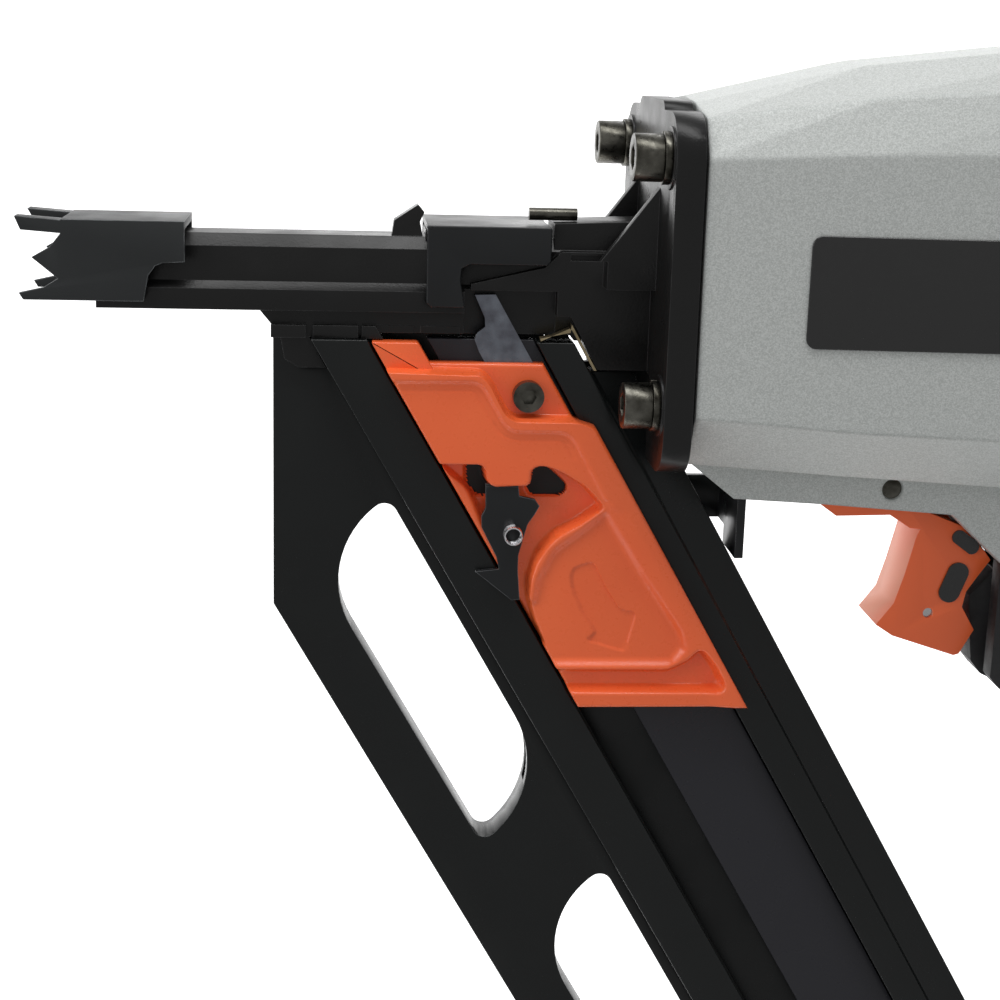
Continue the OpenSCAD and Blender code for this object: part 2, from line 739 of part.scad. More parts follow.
module handle_end_cap() {
    color([0.12, 0.12, 0.13]) in_handle() difference() {
        translate([end_x, 0, -handle_len - 7]) linear_extrude(7) round_rect(41, 2 * collar_half, 11);
        translate([3, 0, -handle_len - 8]) cylinder(h = 10, r = 6.2);
        for (y = [-1, 1]) translate([end_x, y * 13.2, -handle_len - 8]) cylinder(h = 10, r = 1.9);
    }
}

module end_cap_bolts() {
    color([0.5, 0.5, 0.5]) in_handle() for (y = [-1, 1])
        translate([end_x, y * 13.2, -handle_len - 7]) rotate([0, -90, 0]) cap_screw(1.55, 3, 2.6, 17);
}

plug_r = 5.94;
module air_plug() {
    color([0.8, 0.72, 0.45]) in_handle() translate([3, 0, -handle_len - 7]) mirror([0, 0, 1]) difference() {
        union() {
            translate([0, 0, -6]) cylinder(h = 7, r = 6.15);
            cylinder(h = 8, r = 8.2, $fn = 6);
            cylinder(h = 14, r = 5.2);
            translate([0, 0, 14]) cylinder(h = 10, r = plug_r);
            translate([0, 0, 24]) cylinder(h = 4, r1 = plug_r, r2 = 3.9);
            translate([0, 0, 28]) cylinder(h = 8, r = 3.9);
            translate([0, 0, 36]) cylinder(h = 2, r1 = 4.6, r2 = 4.1);
            translate([0, 0, 35]) cylinder(h = 1, r = 4.6);
        }
        translate([0, 0, -8]) cylinder(h = 60, r = 2.5);
    }
}

// ---------- trigger ----------

// Outline about the pivot
module trigger_2d() {
    polygon([[-14.9, -9.4], [-9.7, -13.1], [6.9, -12.7], [13.4, -16.8], [16.8, -17.1], [15.8, -18.8], [12.9, -31.4],
        [10.3, -40.6], [5.2, -47.5], [10.6, -51], [30.5, -57.4], [32.2, -56.9], [36.3, -49.1], [31.9, -41.7],
        [32.8, -36.8], [35.3, -32.9], [39.5, -26.7], [37.5, -24], [29.5, -15.9], [18, -11.5], [10, -6.5], [7.5, 2.4],
        [3, 3.9], [-1.5, 2.4], [-5, -5.5], [-14, -8.6]]);
}

module trigger() {
    color([0.92, 0.32, 0.12]) difference() {
        translate([trigger_x, 0, trigger_z]) side(-trigger_half, trigger_half) trigger_2d();
        // hollow for the lever, the contact arm and the nose of the grip
        translate([trigger_x, 0, trigger_z]) side(-trigger_half + trigger_wall, trigger_half - trigger_wall)
            polygon([[-23, -11.1], [8, -11.1], [14, -13.8], [19.2, -17.3], [16.4, -31.4], [13.8, -41],
                [15, -46.8], [26, -51.5], [28.5, -62], [62, -62], [62, 19.5], [-23, 19.5]]);
        translate([pivot_x, 0, pivot_z]) rod_y(-20, 20, pivot_r + run_gap);
        translate([lever_x, 0, lever_z]) rod_y(-20, 20, 1.55);
    }
}

module insert_2d() {
    translate([trigger_x + 28.4, trigger_z - 33.8]) rotate(-20) round_rect(6.6, 13, 3.2);
    translate([trigger_x + 31, trigger_z - 21]) rotate(54) round_rect(4.4, 9.6, 2.1);
}

module trigger_inserts() {
    color([0.07, 0.07, 0.07]) {
        side(-trigger_half - 0.5, -trigger_half) insert_2d();
        side(trigger_half, trigger_half + 0.5) insert_2d();
    }
}

module trigger_pin() {
    color([0.5, 0.5, 0.5]) translate([pivot_x, 0, pivot_z]) rod_y(-pin_half, pin_half, pivot_r);
}

module trigger_lever() {
    color([0.45, 0.46, 0.48]) difference() {
        translate([lever_x, 0, lever_z]) side(-4, 4) polygon([[-2.8, -2.8], [2.7, -2.8], [6.7, 2.2], [15.9, 15.2],
            [15.9, 26], [13, 27.6], [9.7, 26], [9.7, 17.2], [-2.3, 3.2]]);
        translate([lever_x, 0, lever_z]) rod_y(-20, 20, 1.5 + run_gap);
    }
}

module lever_pin() {
    color([0.6, 0.6, 0.6]) translate([lever_x, 0, lever_z]) rod_y(-trigger_half + 1, trigger_half - 1, 1.5);
}

module valve_body() {
    color([0.75, 0.66, 0.35]) translate([0, 0, valve_z]) difference() {
        rod_x(valve_x + 13, valve_x + 28, 6.95);
        rod_x(valve_x, valve_x + 33, 2.5 + run_gap);
    }
}

module valve_plunger() {
    color([0.7, 0.71, 0.73]) translate([0, 0, valve_z]) union() {
        rod_x(valve_x + 2.4, valve_x + 25, 2.5);
        translate([valve_x + 2.45, 0, 0]) sphere(r = 2.45);
    }
}

// ---------- magazine ----------

// Points of an arc, from angle a0 to a1
function arc(cx, cy, r, a0, a1) = [for (i = [0 : 16]) let (a = a0 + (a1 - a0) * i / 16) [cx + r * cos(a), cy + r * sin(a)]];

module window_2d() {
    offset(r = 4) offset(delta = -4) polygon(concat(arc(181, 5.8, 32, 90, 5), arc(131, 38, 29.6, 270, 180)));
}

module magazine_fin() {
    half = fin_t / 2;
    count = floor((mag_len - 12 - 99.5 - 16.5) / window_pitch);
    color([0.11, 0.12, 0.12]) difference() {
        side(-half, half) difference() {
            intersection() {
                in_mag_2d() translate([0, fin_lo]) square([mag_len, fin_hi - fin_lo]);
                translate([fin_front, -800]) square([800, 800 + mag_top]);
            }
            in_mag_2d() for (k = [0 : count]) if (99.5 + k * window_pitch + 118 < mag_len - 5)
                translate([k * window_pitch, 0]) window_2d();
        }
        mag_bar(-50, mag_len + 10, -shank_gap, shank_gap, nail_tip - 2, fin_hi + 1);
    }
}

module magazine_tip_rail() {
    color([0.14, 0.16, 0.16]) below(mag_top) mag_bar(0, mag_len, -rail_out, -shank_gap, fin_hi, rail_hi);
}

module magazine_back_plate() {
    color([0.1, 0.1, 0.1]) below(mag_top) mag_bar(0, mag_len, shank_gap, back_out, fin_hi, head_lo);
}

module magazine_panel() {
    color([0.2, 0.21, 0.24]) below(mag_top) mag_bar(0, mag_len, -panel_out, -shank_gap, slot_hi, panel_hi);
}

module magazine_head_track() {
    color([0.13, 0.14, 0.15]) difference() {
        below(mag_top) in_mag() rotate([90, 0, 90]) linear_extrude(mag_len) polygon([[-rail_out, panel_hi + 0.3],
            [-rail_out, track_mid], [-rail_out + 1.4, track_mid + 0.8], [-9, track_hi], [8, track_hi], [8, head_lo + 0.2],
            [head_gap, head_lo + 0.2], [head_gap, head_hi], [-head_gap, head_hi], [-head_gap, panel_hi + 0.3]]);
        intersection() {
            mag_bar(-50, 160, -30, 30, track_mid, 130);
            block([0, -30, -29], [300, 30, 40]);
        }
    }
}

module magazine_end_stop() {
    color([0.1, 0.1, 0.1]) mag_bar(mag_len - 8, mag_len - 0.5, -rail_out + 1, -panel_out, slot_hi, panel_hi);
}

// ---------- magazine to handle ----------

bracket_s = mag_s(mag_x(track_hi, joint_z), joint_z);
bracket_screw = [-17, 17];

module magazine_bracket() {
    color([0.1, 0.1, 0.1]) difference() {
        union() {
            mag_bar(bracket_s - 22, bracket_s + 22, -9, 9, track_hi, track_hi + 4);
            translate([0, 0, joint_z]) side(-9, 9) polygon([[mag_x(track_hi + 2, joint_z + 11), 11], [joint_x + 1, 10],
                [joint_x + 6, 5], [joint_x + 6, -5], [joint_x + 1, -10], [mag_x(track_hi + 2, joint_z - 11), -11]]);
        }
        // slot for the lug
        in_mag() block([bracket_s - 40, -6.2, track_hi + 4.5], [bracket_s + 60, 6.2, track_hi + 60]);
        translate([joint_x, 0, joint_z]) rod_y(-20, 20, joint_r + 0.05);
        in_mag() for (s = bracket_screw) translate([bracket_s + s, 0, track_hi - 1]) {
            cylinder(h = 8, r = 2.1);
            translate([0, 0, 5]) cylinder(h = 30, r = 3.8);
        }
    }
}

module bracket_bolts() {
    color([0.5, 0.5, 0.5]) {
        translate([joint_x, 0, joint_z]) {
            rod_y(-9, 9, joint_r);
            rod_y(-12, -9, joint_r + 2);
            rod_y(9, 12, joint_r + 2);
        }
        in_mag() for (s = bracket_screw) translate([bracket_s + s, 0, track_hi + 4]) {
            cylinder(h = 2.5, r = 3.6);
            translate([0, 0, -4]) cylinder(h = 4.5, r = 2);
        }
    }
}

module track_screws() {
    color([0.3, 0.3, 0.3]) in_mag() for (s = [130, 270, 410]) translate([s, 0, 90]) rod_y(back_out, back_out + 2.2, 3.5);
}

// ---------- follower ----------

follower_s1 = 210;
follower_in = panel_out + slide_gap;
follower_step = rail_out + 0.4;
latch_in = rail_out + 2.6;
rail_side = rail_hi + slide_gap + 0.4;
track_side = panel_hi - slide_gap;

module follower_base_2d() {
    top = mag_top - 0.3;
    polygon([[mag_x(rail_side, top), top], [90.5, top], [95, -28.3], [mag_x(track_side, -27.8), -27.8],
        [mag_x(track_side, -130.5), -130.5], [mag_x(rail_side, -129), -129]]);
}

module follower() {
    coil_s = 166;
    coil_t = 82;
    color([0.93, 0.33, 0.13]) difference() {
        union() {
            side(-14.5, -follower_in) follower_base_2d();
            // raised upper plate
            side(-follower_out, -14) polygon([[83.4, -29.7], [108.6, -29.3], [116.5, -45.4], [138.4, -46.4],
                [mag_x(101.5, -50), -50], [mag_x(101.5, -70), -70], [134, -64], [128, -56], [123, -56], [121, -60.5],
                [110, -60.5], [108, -56], [mag_x(rail_side, -56), -56]]);
            // right border and bottom lip
            side(-follower_out, -follower_step) polygon([[mag_x(92, -62), -62], [mag_x(101.8, -62), -62], [mag_x(101.8, -130.8), -130.8],
                [mag_x(90, -130.8), -130.8], [mag_x(92, -118), -118]]);
            side(-17, -14) polygon([[mag_x(rail_side + 8, -104), -104], [136, -84], [mag_x(94, -74), -74], [mag_x(94, -130.6), -130.6],
                [mag_x(rail_side, -129), -129], [mag_x(rail_side, -112), -112]]);
            // left border
            side(-17.5, -14) polygon([[mag_x(rail_side, -55), -55], [mag_x(rail_side + 2.4, -55), -55],
                [mag_x(rail_side + 2.4, -71), -71], [mag_x(rail_side, -71), -71]]);
            // tongue into the nail channel
            mag_bar(66, 86, -9, shank_gap - 0.5, rail_hi + 2, slot_hi - 1);
        }
        // holes beside the latch
        side(-30, -follower_in + 1) polygon([[104.8, -57], [108.4, -57], [109.6, -64], [106.5, -64]]);
        side(-30, -follower_in + 1) polygon([[124, -57.4], [130, -60], [132, -63.6], [123, -63.6]]);
        // seat of the lockout blade
        side(-10.7, 0) polygon([[109, -20], [mag_x(95.4, -20), -20], [mag_x(95.4, -50), -50], [mag_x(81.6, -50), -50],
            [mag_x(81.6, -26), -26]]);
        translate([123.3, 0, -36.1]) rod_y(-30, 0, 2.6);
        translate([123.3, 0, -36.1]) rod_y(-30, -12.4, screw_r + 0.4);
        // room for the spring
        in_mag() translate([coil_s, 0, coil_t]) rod_y(-12.8, 0, 12.5);
    }
}

module follower_screw() {
    color([0.2, 0.2, 0.18]) translate([123.3, 0, -36.1]) difference() {
        union() {
            rod_y(-16.4, -12.4, screw_r);
            rod_y(-12.5, -9, 2.5);
        }
        translate([0, -14, 0]) rotate([90, 0, 0]) cylinder(h = 4, r = 2.3, $fn = 6);
    }
}

module lockout_blade() {
    color([0.36, 0.4, 0.45]) difference() {
        side(-10.6, -8.7) polygon([[107.4, -7.4], [113.4, -7.2], [mag_x(94.6, -8), -8], [mag_x(94.6, -48), -48],
            [mag_x(82.4, -48), -48], [mag_x(82.4, -24), -24], [107.6, -20.4], [108.3, -18.4], [110.6, -16.6], [110.4, -14]]);
        translate([123.3, 0, -36.1]) rod_y(-30, 0, 2.6);
    }
}

module latch_plate() {
    color([0.13, 0.14, 0.15]) union() {
        side(-latch_in - 1.4, -latch_in) polygon([[111.4, -62.6], [121, -62.6], [121.4, -65.4], [126, -66.4], [127.4, -68.4],
            [126, -71], [124, -74], [121.6, -83.4], [121.6, -88], [122.4, -97], [120, -97.2], [109, -88.4], [116, -87.6],
            [115.2, -84], [110.6, -75], [110.4, -71.6], [111.6, -69]]);
        translate([0, -latch_in - 0.7, -62.4]) rod_x(111.4, 121, 0.7);
    }
}

module latch_spring() {
    color([0.85, 0.85, 0.87]) translate([119.6, -latch_in - 1.4, -76.6]) rotate([0, 0, -90]) coil(2.5, 0.35, 4.6, 4);
}

module follower_spring() {
    color([0.6, 0.62, 0.64]) in_mag() translate([166, 0, 82]) difference() {
        rod_y(-12.4, -8.8, 11.8);
        rod_y(-14, -8, 7.1);
    }
}

module spring_spool() {
    color([0.1, 0.1, 0.1]) in_mag() translate([166, 0, 82]) rod_y(-12.7, -8.6, 7);
}

// ---------- rafter hook ----------

hook_z = -handle_len + 12;
module hook_at() {
    in_handle() translate([end_x, collar_half, hook_z]) children();
}

module rafter_hook() {
    color([0.12, 0.12, 0.12]) hook_at() difference() {
        union() {
            translate([-7, 0.3, -7]) cube([14, 3, 14]);
            translate([-5, 0.3, 5]) cube([10, 3, 62]);
            translate([-5, 0.3, 64]) cube([10, 32, 3]);
            translate([-5, 29.3, 50]) cube([10, 3, 17]);
        }
        rod_y(-2, 8, 3 + run_gap);
    }
}

module hook_bolt() {
    color([0.5, 0.5, 0.5]) hook_at() {
        rod_y(0, 3.6, 3);
        rod_y(3.6, 6.6, 5.5);
    }
}

nosepiece();
nose_clip();
clip_pin();
feed_guide();
nose_gasket();
nose_bolts();
lock_washers();
contact_tip();
contact_arm_lower();
contact_arm_upper();
arm_screws();
arm_spring();
depth_adjuster();
driver_blade();
piston();
piston_ring();
bumper();
cylinder_sleeve();
sleeve_seal();
head_valve();
head_valve_seal();
head_valve_spring();
housing();
side_labels();
rear_cap();
cap_gasket();
cap_bolts();
exhaust_deflector();
deflector_screw();
grip_sleeve();
handle_end_cap();
end_cap_bolts();
air_plug();
trigger();
trigger_inserts();
trigger_pin();
trigger_lever();
lever_pin();
valve_body();
valve_plunger();
magazine_fin();
magazine_tip_rail();
magazine_back_plate();
magazine_panel();
magazine_head_track();
magazine_end_stop();
magazine_bracket();
bracket_bolts();
track_screws();
follower();
follower_screw();
lockout_blade();
latch_plate();
latch_spring();
follower_spring();
spring_spool();
rafter_hook();
hook_bolt();
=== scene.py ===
# %% [markdown]
# # A framing nailer, from its nose to its trigger
#
# The metal frame of this tool comes from the CAD model, already in metres
# and already in place. The cells below put a camera and soft light on it,
# give each part its finish, build the moulded follower, which needs more
# shape than its CAD solid has, and round the edges of cast and bent pieces.

# %% Load the frame
import math

import bmesh
import bpy
import numpy as np
from mathutils import Matrix, Vector
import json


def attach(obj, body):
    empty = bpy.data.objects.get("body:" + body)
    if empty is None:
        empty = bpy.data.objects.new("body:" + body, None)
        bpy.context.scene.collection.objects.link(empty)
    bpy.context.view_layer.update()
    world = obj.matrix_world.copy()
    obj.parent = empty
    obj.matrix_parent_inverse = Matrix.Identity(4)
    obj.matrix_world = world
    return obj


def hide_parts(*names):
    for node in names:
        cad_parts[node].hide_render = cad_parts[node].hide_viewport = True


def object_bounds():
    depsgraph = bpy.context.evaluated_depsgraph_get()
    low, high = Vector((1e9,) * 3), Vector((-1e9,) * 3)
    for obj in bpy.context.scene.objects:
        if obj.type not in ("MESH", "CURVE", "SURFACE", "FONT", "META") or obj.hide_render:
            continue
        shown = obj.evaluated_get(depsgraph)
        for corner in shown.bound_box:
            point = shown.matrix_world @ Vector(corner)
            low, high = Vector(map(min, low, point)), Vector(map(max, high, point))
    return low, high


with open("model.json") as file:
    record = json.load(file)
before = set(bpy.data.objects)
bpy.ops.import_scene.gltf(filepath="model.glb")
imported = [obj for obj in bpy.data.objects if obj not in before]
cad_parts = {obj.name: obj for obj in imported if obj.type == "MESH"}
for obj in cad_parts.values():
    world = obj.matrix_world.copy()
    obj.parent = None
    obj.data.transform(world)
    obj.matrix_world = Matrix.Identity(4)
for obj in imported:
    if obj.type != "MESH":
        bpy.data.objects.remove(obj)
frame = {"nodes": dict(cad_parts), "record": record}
cad_box = [list(corner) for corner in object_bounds()]
nodes = frame["nodes"]
print("CAD nodes:", len(nodes))

# %% [markdown]
# ## Camera
#
# The tool is looked at from its near side, a little from above and a little
# from the front, as a buyer would look at it on a bench. A lens of about
# 67 mm keeps the nose and the housing in proportion. The camera's turn is
# built from three angles, so that each can be understood by itself: yaw
# swings it sideways, pitch tips it down, and roll leans the picture.

# %% Camera
CAMERA_AT = Vector((0.068217, -0.541029, 0.065123))
YAW, PITCH, ROLL = (math.radians(a) for a in (5.18, 14.05, 1.65))
LENS_MM = 66.78

forward = Vector((math.sin(YAW) * math.cos(PITCH),
                  math.cos(YAW) * math.cos(PITCH), -math.sin(PITCH)))
level = Vector((math.cos(YAW), -math.sin(YAW), 0))
upward = level.cross(forward)
right = level * math.cos(ROLL) + upward * math.sin(ROLL)
top = upward * math.cos(ROLL) - level * math.sin(ROLL)

camera = bpy.data.objects.new("camera", bpy.data.cameras.new("camera"))
bpy.context.scene.collection.objects.link(camera)
turn = Matrix((right, top, -forward)).transposed()
camera.matrix_world = Matrix.Translation(CAMERA_AT) @ turn.to_4x4()
camera.data.lens = LENS_MM
camera.data.clip_start, camera.data.clip_end = 0.01, 50
bpy.context.scene.camera = camera
print("camera", [round(v, 3) for v in camera.location])

# %% [markdown]
# ## Backdrop and light
#
# Black metal shows its shape only through what it reflects, so a room that
# is white all round would turn it grey. The room here is dim, and only a
# bright sweep stands behind the tool: a floor that curves up into a wall.
# The panels add one long highlight from above, edges from the left, and a
# weak rim from behind.

# %% Backdrop and light
FLOOR_Z = cad_box[0][2] - 0.75


def sweep_points(half_width, front, back, low, high, bend, steps=24):
    """x runs straight across. y and z follow a path: flat from front to
    back, a quarter circle of radius bend, then straight up to high."""
    angle = np.linspace(0, np.pi / 2, steps)
    y = np.concatenate([[front], back + bend * np.sin(angle), [back + bend]])
    z = np.concatenate([[low], low + bend * (1 - np.cos(angle)), [high]])
    x = np.array([-half_width, half_width])
    grid_x, grid_y = np.meshgrid(x, y, indexing="ij")
    grid_z = np.broadcast_to(z, grid_y.shape)
    return np.stack([grid_x, grid_y, grid_z], axis=-1)


points = sweep_points(3.0, -0.2, 0.55, FLOOR_Z, 1.6, 0.5)
count = points.shape[1]
mesh = bpy.data.meshes.new("backdrop")
mesh.from_pydata(points.reshape(-1, 3).tolist(), [],
                 [(i, i + 1, count + i + 1, count + i)
                  for i in range(count - 1)])
mesh.polygons.foreach_set("use_smooth", [True] * len(mesh.polygons))
backdrop = bpy.data.objects.new("backdrop", mesh)
bpy.context.scene.collection.objects.link(backdrop)
paper = bpy.data.materials.new("paper")
paper.use_nodes = True
paper_shader = paper.node_tree.nodes["Principled BSDF"]
paper_shader.inputs["Base Color"].default_value = (0.9, 0.9, 0.9, 1)
paper_shader.inputs["Roughness"].default_value = 0.95
paper_shader.inputs["Emission Color"].default_value = (1, 1, 1, 1)
paper_shader.inputs["Emission Strength"].default_value = 0.8
backdrop.data.materials.append(paper)

world = bpy.data.worlds.new("pale_room")
world.use_nodes = True
sky = world.node_tree.nodes["Background"]
sky.inputs["Color"].default_value = (1, 1, 1, 1)
sky.inputs["Strength"].default_value = 0.40
bpy.context.scene.world = world
bpy.context.scene.view_settings.view_transform = "Standard"


def soft_panel(name, place, aim, width, height, power):
    """An area light of width by height at place, turned to face aim."""
    lamp = bpy.data.lights.new(name, "AREA")
    lamp.shape, lamp.size, lamp.size_y = "RECTANGLE", width, height
    lamp.energy = power
    panel = bpy.data.objects.new(name, lamp)
    panel.location = place
    away = Vector(place) - Vector(aim)
    panel.rotation_euler = away.to_track_quat("Z", "Y").to_euler()
    bpy.context.scene.collection.objects.link(panel)
    return panel


TOOL_MIDDLE = (0.15, 0.0, -0.08)
soft_panel("panel_above", (0.05, -0.35, 1.1), TOOL_MIDDLE, 1.2, 0.5, 9)
soft_panel("panel_left", (-1.0, -0.6, 0.35), TOOL_MIDDLE, 0.4, 1.0, 4)
soft_panel("panel_behind", (0.6, 1.1, 0.6), TOOL_MIDDLE, 1.0, 0.6, 3)

# %% [markdown]
# ## Finishes
#
# Almost every surface of such a tool is one of a few: a black cast or
# anodised metal, dark oiled steel, bright steel, silver metallic coat,
# glossy orange plastic, and rubber. Real ones are never even, so each
# finish takes a base and lets noise move its roughness and its bump a
# little. Where two faces meet, handling rubs the coat, so the edges are
# lighter: the Bevel node gives a rounded normal, and where that differs
# from the true one there is an edge.

# %% Finish helper


class Finish:
    """A Principled material and short ways to feed its sockets."""

    def __init__(self, name, colour, rough, metal=0.0, coat=0.0):
        self.material = bpy.data.materials.new(name)
        self.material.use_nodes = True
        self.tree = self.material.node_tree
        self.shader = self.tree.nodes["Principled BSDF"]
        self.shader.inputs["Base Color"].default_value = (*colour, 1)
        self.shader.inputs["Roughness"].default_value = rough
        self.shader.inputs["Metallic"].default_value = metal
        self.shader.inputs["Coat Weight"].default_value = coat
        self.shader.inputs["Coat Roughness"].default_value = 0.15
        where = self.tree.nodes.new("ShaderNodeTexCoord")
        self.place = where.outputs["Object"]

    def node(self, kind, **settings):
        made = self.tree.nodes.new(kind)
        for key, value in settings.items():
            setattr(made, key, value)
        return made

    def join(self, source, target):
        self.tree.links.new(source, target)

    def noise(self, scale, detail=3.0, stretch=(1, 1, 1)):
        """Noise on Object coordinates, scale in waves per metre."""
        mapping = self.node("ShaderNodeMapping")
        mapping.inputs["Scale"].default_value = stretch
        made = self.node("ShaderNodeTexNoise")
        made.inputs["Scale"].default_value = scale
        made.inputs["Detail"].default_value = detail
        self.join(self.place, mapping.inputs["Vector"])
        self.join(mapping.outputs["Vector"], made.inputs["Vector"])
        return made.outputs["Fac"]

    def span(self, source, low, high, start=0.3, stop=0.7):
        """Maps source from start..stop to low..high."""
        made = self.node("ShaderNodeMapRange")
        for key, value in zip(("From Min", "From Max", "To Min", "To Max"),
                              (start, stop, low, high)):
            made.inputs[key].default_value = value
        self.join(source, made.inputs["Value"])
        return made.outputs["Result"]

    def two_tone(self, factor, first, second):
        made = self.node("ShaderNodeMix", data_type="RGBA")
        made.inputs["A"].default_value = (*first, 1)
        made.inputs["B"].default_value = (*second, 1)
        self.join(factor, made.inputs["Factor"])
        return made.outputs["Result"]

    def rough_from(self, source, low, high):
        self.join(self.span(source, low, high),
                  self.shader.inputs["Roughness"])

    def bump_from(self, source, height_mm, strength=0.5):
        bump = self.node("ShaderNodeBump")
        bump.inputs["Strength"].default_value = strength
        bump.inputs["Distance"].default_value = height_mm / 1000
        self.join(source, bump.inputs["Height"])
        self.join(bump.outputs["Normal"], self.shader.inputs["Normal"])
        return bump

    def edges(self, radius_mm):
        """0 on flat faces, rising to 1 where the rounded normal differs."""
        rounded = self.node("ShaderNodeBevel", samples=4)
        rounded.inputs["Radius"].default_value = radius_mm / 1000
        true = self.node("ShaderNodeNewGeometry")
        dot = self.node("ShaderNodeVectorMath", operation="DOT_PRODUCT")
        self.join(rounded.outputs["Normal"], dot.inputs[0])
        self.join(true.outputs["Normal"], dot.inputs[1])
        return self.span(dot.outputs["Value"], 1.0, 0.0, 0.86, 0.995)


RUBBED_EDGE_MM = 0.35


def coated_metal(name, colour, worn, rough, grain_mm, grain, spread=0.10):
    """A coat with fine grain, uneven gloss and edges rubbed to worn."""
    made = Finish(name, colour, rough)
    made.shader.inputs["Specular IOR Level"].default_value = 0.32
    cloud = made.noise(60.0, 4.0)
    made.rough_from(cloud, rough - spread, rough + spread)
    rub = made.edges(RUBBED_EDGE_MM)
    patch = made.span(made.noise(240.0, 4.0), 0.25, 1.0, 0.35, 0.6)
    mixed = made.node("ShaderNodeMath", operation="MULTIPLY")
    made.join(rub, mixed.inputs[0])
    made.join(patch, mixed.inputs[1])
    made.join(made.two_tone(mixed.outputs[0], colour, worn),
              made.shader.inputs["Base Color"])
    made.bump_from(made.noise(grain, 4.0), grain_mm)
    return made.material


# %% [markdown]
# ### Black castings, black sheet, and the magazine's anodised metal
#
# They are all black, and differ in gloss and grain: the casting is rough
# and catches light on its ribs, the sheet is smoother, and the magazine's
# extrusions are the smoothest.

# %% Black finishes
cast_black = coated_metal("cast_black", (0.007, 0.007, 0.007),
                          (0.06, 0.06, 0.062), 0.32, 0.12, 1500.0,
                          spread=0.08)
sheet_black = coated_metal("sheet_black", (0.011, 0.012, 0.013),
                           (0.22, 0.23, 0.24), 0.34, 0.03, 3000.0)
tip_steel = coated_metal("tip_steel", (0.022, 0.024, 0.025),
                         (0.30, 0.32, 0.33), 0.46, 0.12, 2400.0)
cap_black = coated_metal("cap_black", (0.012, 0.012, 0.013),
                         (0.05, 0.05, 0.05), 0.42, 0.10, 1700.0)
anodised = coated_metal("anodised", (0.006, 0.007, 0.007),
                        (0.16, 0.17, 0.17), 0.30, 0.015, 4000.0)
anodised_grey = coated_metal("anodised_grey", (0.022, 0.022, 0.027),
                             (0.10, 0.10, 0.11), 0.30, 0.015, 4000.0)
moulded_black = coated_metal("moulded_black", (0.012, 0.012, 0.012),
                             (0.03, 0.03, 0.03), 0.45, 0.05, 2200.0)

# %% [markdown]
# ### Steel, brass and aluminium
#
# Bare metals have no coat to rub off. Screws and pins are oiled and dark,
# with a warm cast, and the blade has the blue of tempering.

# %% Bare metals


def bare_metal(name, pit_painted_shade, light, rough, scratch=900.0, along=(1, 1, 1)):
    """Metal whose colour and roughness wander between two close tones."""
    made = Finish(name, light, rough, 1.0)
    cloud = made.noise(180.0, 4.0)
    made.join(made.two_tone(made.span(cloud, 0.0, 1.0), pit_painted_shade, light),
              made.shader.inputs["Base Color"])
    made.rough_from(made.noise(scratch, 3.0, along), rough - 0.1, rough + 0.12)
    made.bump_from(made.noise(scratch * 2, 3.0, along), 0.03, 0.4)
    return made.material


oiled_steel = bare_metal("oiled_steel", (0.03, 0.028, 0.022),
                         (0.15, 0.145, 0.125), 0.32)
bright_steel = bare_metal("bright_steel", (0.45, 0.45, 0.46),
                          (0.70, 0.70, 0.71), 0.25)
spring_steel = bare_metal("spring_steel", (0.65, 0.65, 0.67),
                          (0.88, 0.88, 0.90), 0.14)
tempered_blade = bare_metal("tempered_blade", (0.11, 0.11, 0.13),
                            (0.24, 0.26, 0.30), 0.33)
brass = bare_metal("brass", (0.30, 0.24, 0.14), (0.52, 0.43, 0.27), 0.38)
turned_aluminium = bare_metal("turned_aluminium", (0.55, 0.56, 0.57),
                              (0.76, 0.77, 0.78), 0.28)

# %% [markdown]
# ### Silver metallic coat
#
# The housing has a silver paint with metal flakes, and the Bevel node rounds
# its creases by two millimetres as the light sees them. The flakes are a
# fine cell pattern that nudges the normal and the tone from flake to flake, so
# the surface sparkles a little when the light moves.

# %% Silver coat
CREASE_RADIUS = 0.002

def silver_coat():
    """Silver flakes under a thin clear coat, with rounded creases."""
    made = Finish("silver_coat", (0.50, 0.51, 0.49), 0.50, 0.20, 0.10)
    cells = made.node("ShaderNodeTexVoronoi")
    cells.inputs["Scale"].default_value = 3400.0
    made.join(made.place, cells.inputs["Vector"])
    shade = made.node("ShaderNodeSeparateColor")
    made.join(cells.outputs["Color"], shade.inputs["Color"])
    tone = made.span(shade.outputs["Red"], 0.0, 1.0, 0.1, 0.95)
    made.join(made.two_tone(tone, (0.44, 0.46, 0.445), (0.60, 0.62, 0.605)),
              made.shader.inputs["Base Color"])
    made.rough_from(shade.outputs["Green"], 0.44, 0.60)
    bump = made.bump_from(shade.outputs["Blue"], 0.02, 0.35)
    rounded = made.node("ShaderNodeBevel", samples=6)
    rounded.inputs["Radius"].default_value = CREASE_RADIUS
    made.join(rounded.outputs["Normal"], bump.inputs["Normal"])
    return made.material


silver = silver_coat()

# %% [markdown]
# ### Orange plastic and rubber
#
# The orange is a glossy moulding with a faint flow in its surface. The
# rubber is dull and finely grained, and gaskets are duller still.

# %% Orange and rubber


def moulded(name, colour, deeper, rough, grain_mm, grain, coat=0.0):
    """A moulding: even colour with slow change and a fine skin."""
    made = Finish(name, colour, rough, 0.0, coat)
    slow = made.span(made.noise(28.0, 2.0), 0.0, 1.0)
    made.join(made.two_tone(slow, deeper, colour),
              made.shader.inputs["Base Color"])
    made.rough_from(made.noise(500.0, 3.0), rough - 0.06, rough + 0.08)
    made.bump_from(made.noise(grain, 3.0), grain_mm)
    return made.material


orange = moulded("orange", (0.98, 0.165, 0.045), (0.94, 0.14, 0.035),
                 0.30, 0.02, 1800.0, 0.25)


